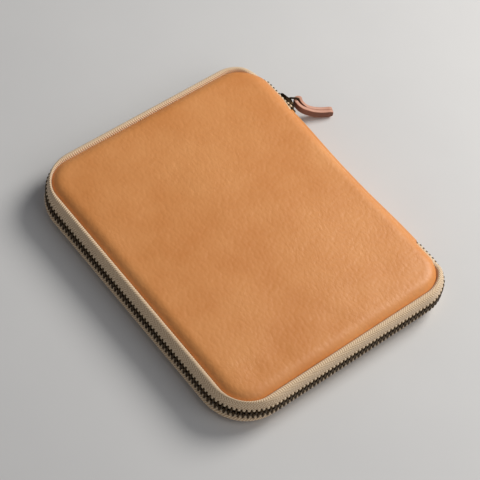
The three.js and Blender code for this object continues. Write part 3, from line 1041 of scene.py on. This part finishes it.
# The bridge's outline, outwards and along the zip.
BRIDGE_OUTER = [(2.4, -2.9), (3.7, -2.7), (4.8, -1.9), (5.3, 0), (4.8, 1.9), (3.7, 2.7), (2.4, 2.9)]
BRIDGE_INNER = [(2.4, 1.9), (3.4, 1.75), (4.15, 1.2), (4.4, 0), (4.15, -1.2), (3.4, -1.75), (2.4, -1.9)]


def slider_metal():
    """Two plates with flanges, the post between the rows of teeth, and the bridge."""
    centre = np.array([CHAIN_X, (SLIDER_LOW[1] + SLIDER_HIGH[1]) / 2, 0])
    made = []

    def add(outline, limits, order, bevel):
        """Makes a bevelled slab; `order` picks which of its axes become x, y and z."""
        points, faces = slab(outline, *limits)
        made.append(bevelled(new_piece("slider_part", points[:, order] + centre, faces), bevel))

    for limits in PLATES_OUT:
        add(rounded(PLATE_OUTLINE, 1.2), limits, [2, 0, 1], 0.28)
    for side in (-1, 1):
        inner, outer = FLANGE_ACROSS
        add(rectangle(*FLANGE_ALONG, side * inner, side * outer), FLANGE_OUT, [2, 0, 1], 0.15)
    add(rectangle(*POST_ALONG, *POST_ACROSS), POST_OUT, [2, 0, 1], 0.1)
    arch = smooth_path(BRIDGE_OUTER, 18).tolist() + smooth_path(BRIDGE_INNER, 14).tolist()
    add(arch, BRIDGE_ACROSS, [0, 1, 2], 0.22)
    piece = merge_objects("slider_metal", made)
    finish_piece(piece, BRASS, ["slider_body"])
    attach(piece, "zip_slider")


def merge_objects(name, objects):
    """Joins mesh objects that have no modifiers into one new object."""
    bm = bmesh.new()
    for part in objects:
        bm.from_mesh(part.data)
    mesh = bpy.data.meshes.new(name)
    bm.to_mesh(mesh)
    bm.free()
    for part in objects:
        bpy.data.objects.remove(part)
    shade_smooth(mesh)
    return add_object(name, mesh)


LINK_PIVOT = joint_place("link_swing")
TAB_PIVOT = joint_place("tab_swing")
PULL_OUT = (TAB_PIVOT - LINK_PIVOT) / np.linalg.norm(TAB_PIVOT - LINK_PIVOT)
PULL_UP = np.array([0.0, 0.0, 1.0])
PULL_ACROSS_PLANE = np.cross(PULL_UP, PULL_OUT)
LINK_WIRE = 0.6


def wire_ring(path, radius, around=12):
    """A round wire along a closed line of points in the pull's plane: (points, faces)."""
    rings = []
    for i, centre in enumerate(path):
        side = np.cross(path[(i + 1) % len(path)] - path[i - 1], PULL_ACROSS_PLANE)
        side = side / np.linalg.norm(side)
        rings += ring(centre, side, PULL_ACROSS_PLANE, radius, around)
    return rings, grid_faces(len(path), around, closed_rows=True, closed_columns=True)


def link_metal():
    """A wire ring: one end lies in the slider's bridge, the other in the tab's fold."""
    reach = np.linalg.norm(TAB_PIVOT - LINK_PIVOT)
    half = TAB_WIDTH / 2 + 0.9
    outline = rounded(rectangle(0, reach, -half, half), 1.3, 6)
    path = [LINK_PIVOT + PULL_OUT * out + PULL_UP * up for out, up in outline]
    piece = new_piece("link_metal", *wire_ring(path, LINK_WIRE))
    finish_piece(piece, BRASS, ["pull_link"])
    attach(piece, "pull_link")


def tab_line():
    """The tab's middle line in plan: it leaves the link sideways and swings outwards."""
    step = 0.25
    distances = np.arange(0, TAB_LENGTH + 3, step)
    swing = (TAB_START_ANGLE - TAB_END_ANGLE) * np.exp(-distances / TAB_BEND)
    angles = np.radians(TAB_END_ANGLE + swing)
    out = np.r_[0, np.cumsum(np.cos(angles) * step)[:-1]]
    aside = np.r_[0, np.cumsum(np.sin(angles) * step)[:-1]]
    return distances, out, aside, angles


TAB_PATH = tab_line()


def on_tab(along, aside, up):
    """A point of the tab from its place along the middle line, beside it and above it."""
    inside = max(0.0, along)
    out, across, angle = (float(np.interp(inside, TAB_PATH[0], values)) for values in TAB_PATH[1:])
    out += min(along, 0.0) * math.cos(angle) - aside * math.sin(angle)
    across += min(along, 0.0) * math.sin(angle) + aside * math.cos(angle)
    droop = TAB_DROOP * (1 - (1 - min(1.0, inside / TAB_LENGTH)) ** 2.4)
    return TAB_PIVOT + PULL_OUT * out + PULL_ACROSS_PLANE * across + PULL_UP * (up - droop)


def tab_leather():
    """A strip folded round the link, its two layers lying together and drooping outwards."""
    gap = TAB_LAYER / 2 + 0.05
    turn = arc_points(0, 0, LINK_WIRE + 0.2 + TAB_LAYER / 2, range(70, 300, 20))
    leg = [(3.5, 1.5), (6.3, gap), (9, gap), (13, gap), (17, gap), (TAB_LENGTH, gap)]
    centre = smooth_path(leg[::-1] + turn + [(x, -y) for x, y in leg], 110)
    half = TAB_WIDTH / 2
    section = rounded(rectangle(-TAB_LAYER / 2, TAB_LAYER / 2, -half, half), 0.4, 3)
    rings = []
    uvs = []
    for (along, aside), (nx, ny) in zip(centre, line_normals(centre)):
        # The strip narrows to a rounded end.
        end = np.clip((along - (TAB_LENGTH - TAB_TIP)) / TAB_TIP, 0, 1)
        narrow = 1 - 0.38 * end**2.2
        for through, up in section:
            rings.append(on_tab(along + nx * through, aside + ny * through, up * narrow))
            uvs.append((along, up / half))
    piece = new_piece("tab_leather", rings, tube_faces(len(centre), len(section)), uvs)
    finish_piece(piece, PINK_TAN, ["pull_tab"])
    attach(piece, "pull_tab")


# ---- Inside ------------------------------------------------------

LINING_INSET = 1.6
LINING_THICKNESS = 0.5
PADDING_INSET = 7.0


def lining(side):
    """The lining of a cover, which goes on to the middle of the spine."""
    x, y, _, rows, columns = cover_grid(LINING_INSET, 0.8, 4.0)
    height = box_from_mid("front_lining")[0][2]
    soft = np.array([soft_noise(px, py, 25, 25, 4.4) for px, py in zip(x, y)])
    points = np.stack([x, y, height + 0.08 * soft + 0.1], 1)
    edge = spine_side_edge(points, rows, columns)
    inner_x = SPINE_OUT - LEATHER_THICKNESS - 0.6
    start_x = x.max()
    line = smooth_path([
        (start_x, height + 0.1), (start_x + 0.7, height - 0.7), (inner_x - 0.5, 5.0), (inner_x, 0.0),
    ], 12)[1:]
    edge_y = points[edge][:, 1]
    strip = []
    for i, (px, pz) in enumerate(line):
        follow = spine_offset(edge_y) * (i + 1) / len(line)
        strip.append(np.stack([px + follow, edge_y, np.full(len(edge), pz)], 1))
    points, faces = strip_below(points, grid_faces(rows, columns), edge, strip)
    outwards = np.tile([0.0, 0.0, -1.0], (len(points), 1))
    skin, skin_faces = thicken(points, faces, np.full(len(points), LINING_THICKNESS), outwards)
    skin[:, 2] *= side
    half = half_name(side)
    piece = new_piece(f"{half}_suede", skin, skin_faces)
    replaced = [f"{half}_lining"] + (["spine_lining"] if side > 0 else [])
    finish_piece(piece, LINING, replaced)
    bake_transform(piece)


def padding(side):
    """The foam sheet behind a cover's leather, following its crown."""
    prefix = half_name(side)
    x, y, distance, rows, columns = cover_grid(PADDING_INSET, 0.6, 4.0)
    low, high = box_from_mid("front_padding")
    bottom, top = low[2], high[2]
    share = np.clip(distance / 6, 0, 1)
    edge = (1 - (1 - share) ** 2) ** 0.5
    upper = np.stack([x, y, bottom + 0.25 + (top - bottom - 0.3) * edge], 1)
    points = np.vstack([upper, np.stack([x, y, np.full(len(x), bottom)], 1)])
    outwards = np.tile([0.0, 0.0, 1.0], (len(upper), 1))
    # The sheet's faces are those of a thickened one, but its underside is flat.
    _, faces = thicken(upper, grid_faces(rows, columns), upper[:, 2] - bottom, outwards)
    points[:, 2] *= side
    piece = new_piece(f"{prefix}_foam", points, faces)
    finish_piece(piece, FOAM, [f"{prefix}_padding"])
    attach(piece, f"{prefix}_half")


# The two bands of pen loops, and the rows of stitches on both sides of each loop.
LOOP_COUNT = 5
LOOP_PITCH = 25.0
LOOP_RADIUS = 7.2
LOOP_THICKNESS = 0.8
LOOP_SEAM = 1.5


def ribbon(line, thickness, low_y, high_y):
    """A strap along (x, height) points, between two y values, with softly rounded edges."""
    section = rounded(rectangle(-thickness / 2, thickness / 2, low_y, high_y), 0.3, 3)
    rings = []
    for (x, z), (nx, nz) in zip(line, line_normals(line)):
        for through, y in section:
            rings.append([x + nx * through, y, z + nz * through])
    return np.array(rings), tube_faces(len(line), len(section))


def loop_line(floor, top):
    """The band's line across the case: flat on the lining, and over each pen."""
    foot = [(LOOP_RADIUS + 2.4, floor), (LOOP_RADIUS + 0.35, floor + 0.7), (LOOP_RADIUS, floor + 3.2)]
    points = [(-LOOP_COUNT / 2 * LOOP_PITCH, floor)]
    for i in range(LOOP_COUNT):
        centre = (i - (LOOP_COUNT - 1) / 2) * LOOP_PITCH
        points += [(centre - x, z) for x, z in foot]
        points += arc_points(centre, top - LOOP_RADIUS, LOOP_RADIUS, range(180, -1, -20))
        points += [(centre + x, z) for x, z in reversed(foot)]
    points.append((LOOP_COUNT / 2 * LOOP_PITCH, floor))
    return smooth_path(points, 420)


def stitches(name, ends, radius, body):
    """Short stitches as rounded rods, each between a pair of points."""
    parts = []
    around, rings_along = 6, 5
    for start, end in ends:
        start, end = np.array(start, float), np.array(end, float)
        ahead = (end - start) / np.linalg.norm(end - start)
        side = np.cross(ahead, [0, 0, 1.0])
        up = np.cross(side, ahead)
        points = []
        for i in range(rings_along):
            t = i / (rings_along - 1)
            full = math.sin(math.pi * t)
            centre = start + (end - start) * t + up * (0.75 * radius * full)
            points += ring(centre, side, up, radius * (0.35 + 0.65 * full**0.5), around)
        parts.append((points, tube_faces(rings_along, around)))
    piece = join_meshes(name, parts)
    finish_piece(piece, THREAD)
    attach(piece, body)


STITCH_LENGTH = 2.3
STITCH_PITCH = 3.0
POCKET_RADIUS = 12.0
POCKET_MARGIN = 2.2
HEM_WIDTH = 6.0
HEM_RISE = 0.25


def stitch_run(start, end):
    """The ends of each stitch along a straight line."""
    start, end = np.array(start, float), np.array(end, float)
    length = np.linalg.norm(end - start)
    ahead = (end - start) / length
    firsts = [start + ahead * (i * STITCH_PITCH + 0.3) for i in range(int(length / STITCH_PITCH))]
    return [(first, first + ahead * STITCH_LENGTH) for first in firsts]


def pen_loops():
    """Both bands of loops, sewn to the back lining."""
    ends = []
    for name in ("upper_pen_loops", "lower_pen_loops"):
        low, high = box_from_mid(name)
        floor = low[2] + LOOP_THICKNESS / 2
        top = high[2] - LOOP_THICKNESS / 2
        points, faces = ribbon(loop_line(floor, top), LOOP_THICKNESS, low[1], high[1])
        piece = new_piece(f"{name}_leather", points, faces)
        finish_piece(piece, LOOP_TAN, [name])
        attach(piece, "back_half")
        surface = floor + LOOP_THICKNESS / 2
        for i in range(LOOP_COUNT + 1):
            middle = (i - LOOP_COUNT / 2) * LOOP_PITCH
            for x in (middle - LOOP_SEAM, middle + LOOP_SEAM):
                if abs(x) < LOOP_COUNT / 2 * LOOP_PITCH:
                    ends += stitch_run((x, low[1] + 1, surface), (x, high[1] - 1, surface))
    stitches("loop_stitches", ends, 0.28, "back_half")


def slip_pocket():
    """A sheet sewn to the front lining on three sides, with a turned hem at its mouth."""
    (left, bottom, surface), (right, mouth, under) = box_from_mid("front_slip_pocket")
    radius = POCKET_RADIUS
    corners = [(left + radius, 180), (right - radius, 270)]
    outline = []
    for centre_x, first in corners:
        outline += arc_points(centre_x, bottom + radius, radius, range(first, first + 91, 9))
    outline += [(right, mouth), (left, mouth)]
    sheet = bevelled(new_piece("pocket_sheet", *slab(outline, surface, under)), 0.2)
    hem_outline = rounded(rectangle(left, right, mouth - HEM_WIDTH, mouth + 0.2), 0.6)
    hem_shape = slab(hem_outline, surface - HEM_RISE, surface + 0.1)
    hem = bevelled(new_piece("pocket_hem", *hem_shape), 0.12)
    piece = merge_objects("pocket_leather", [sheet, hem])
    finish_piece(piece, LOOP_TAN, ["front_slip_pocket"])
    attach(piece, "front_half")
    # Stitches: down one side, along the bottom, up the other side, along the hem, round the corners.
    margin = POCKET_MARGIN
    corner, side_top, hem_y = bottom + radius, mouth - 8, mouth - 4.6
    lines = [
        (left + margin, side_top, left + margin, corner, surface),
        (left + radius, bottom + margin, right - radius, bottom + margin, surface),
        (right - margin, corner, right - margin, side_top, surface),
        (left + 3, hem_y, right - 3, hem_y, surface - HEM_RISE),
    ]
    ends = []
    for x1, y1, x2, y2, z in lines:
        ends += stitch_run((x1, y1, z), (x2, y2, z))
    arc = radius - margin
    steps = int(arc * math.pi / 2 / STITCH_PITCH)
    for centre_x, first in corners:
        for i in range(steps):
            shares = (i, i + STITCH_LENGTH / STITCH_PITCH)
            turns = [first + 90 * (share + 0.1) / steps for share in shares]
            ends.append([(x, y, surface) for x, y in arc_points(centre_x, corner, arc, turns)])
    stitches("pocket_stitches", ends, 0.26, "front_half")


def boards():
    """The stiffener boards keep their CAD shape and only get a material."""
    for name in ("front_board", "back_board"):
        board = frame["nodes"][name]
        board.data.materials.clear()
        board.data.materials.append(BOARD)


# ---- Floor, light and camera -------------------------------------

CAMERA_AZIMUTH = -45.74
CAMERA_ELEVATION = 55.62
CAMERA_ROLL = 9.41
CAMERA_DISTANCE = 917.6
CAMERA_LENS = 126.6
CAMERA_AIM = (-5.27, -4.56, 4.43)
# Half the floor's side, in metres, and how far it lies below the case, in millimetres.
FLOOR_HALF = 6.0
FLOOR_DROP = 0.1


def camera():
    """A camera at the photograph's viewing angle, rolled as it is there."""
    azimuth, elevation, roll_angle = map(math.radians, (CAMERA_AZIMUTH, CAMERA_ELEVATION, CAMERA_ROLL))
    back = Vector((
        math.sin(azimuth) * math.cos(elevation),
        -math.cos(azimuth) * math.cos(elevation),
        math.sin(elevation),
    ))
    right = Vector((0, 0, 1)).cross(back).normalized()
    up = back.cross(right)
    turned_right = right * math.cos(roll_angle) + up * math.sin(roll_angle)
    turned_up = up * math.cos(roll_angle) - right * math.sin(roll_angle)
    place = (Vector(CAMERA_AIM) + Vector((0, 0, MID)) + back * CAMERA_DISTANCE) * MM
    data = bpy.data.cameras.new("camera")
    data.lens = CAMERA_LENS
    data.sensor_width = 36
    eye = add_object("camera", data)
    matrix = eye.matrix_world.copy()
    for column, values in enumerate((turned_right, turned_up, back, place)):
        for row in range(3):
            matrix[row][column] = values[row]
    eye.matrix_world = matrix
    bpy.context.scene.camera = eye


def area_light(name, place, aim, size, power, colour):
    """A round soft light at a place, in metres, that points at another."""
    data = bpy.data.lights.new(name, "AREA")
    data.shape = "DISK"
    data.size = size
    data.energy = power
    data.color = colour
    lamp = add_object(name, data)
    lamp.location = place
    lamp.rotation_euler = (Vector(aim) - Vector(place)).to_track_quat("-Z", "Y").to_euler()


def studio():
    """A plain pale floor and soft studio light."""
    mesh = bpy.data.meshes.new("floor")
    outline = rectangle(-FLOOR_HALF, FLOOR_HALF, -FLOOR_HALF, FLOOR_HALF)
    mesh.from_pydata([(x, y, -FLOOR_DROP * MM) for x, y in outline], [], [(0, 1, 2, 3)])
    floor = add_object("floor", mesh)
    made, tree, bsdf, place = new_material("pale_floor")
    cloud = noise_of(tree, place, 120, 4, 0.6)
    tone = mix(tree, cloud, linear(206, 205, 204), linear(216, 215, 213))
    set_inputs(tree, bsdf, {"Base Color": tone, "Roughness": 0.8})
    mesh.materials.append(made)
    world = bpy.data.worlds.new("studio")
    bpy.context.scene.world = world
    world.use_nodes = True
    background = world.node_tree.nodes["Background"]
    set_inputs(world.node_tree, background, {"Color": (0.9, 0.93, 1.0, 1), "Strength": 0.18})
    area_light("key", (0.74, -0.06, 0.7), (0, 0, 0), 0.55, 8.9, (1.0, 0.98, 0.95))
    area_light("fill", (0.2, -0.75, 0.85), (0, -0.05, 0), 0.9, 2.6, (1.0, 0.99, 0.98))
    bpy.context.scene.view_settings.view_transform = "Standard"


# ---- The whole case ----------------------------------------------

camera()
front_leather()
back_leather()
for cover_side in (1, -1):
    zip_tape(cover_side)
    bead(cover_side)
    teeth_row(cover_side)
    lining(cover_side)
    padding(cover_side)
for stop_name in ("bottom_stop", "top_stop_front", "top_stop_back"):
    stop_piece(stop_name)
slider_metal()
link_metal()
tab_leather()
pen_loops()
slip_pocket()
boards()
studio()
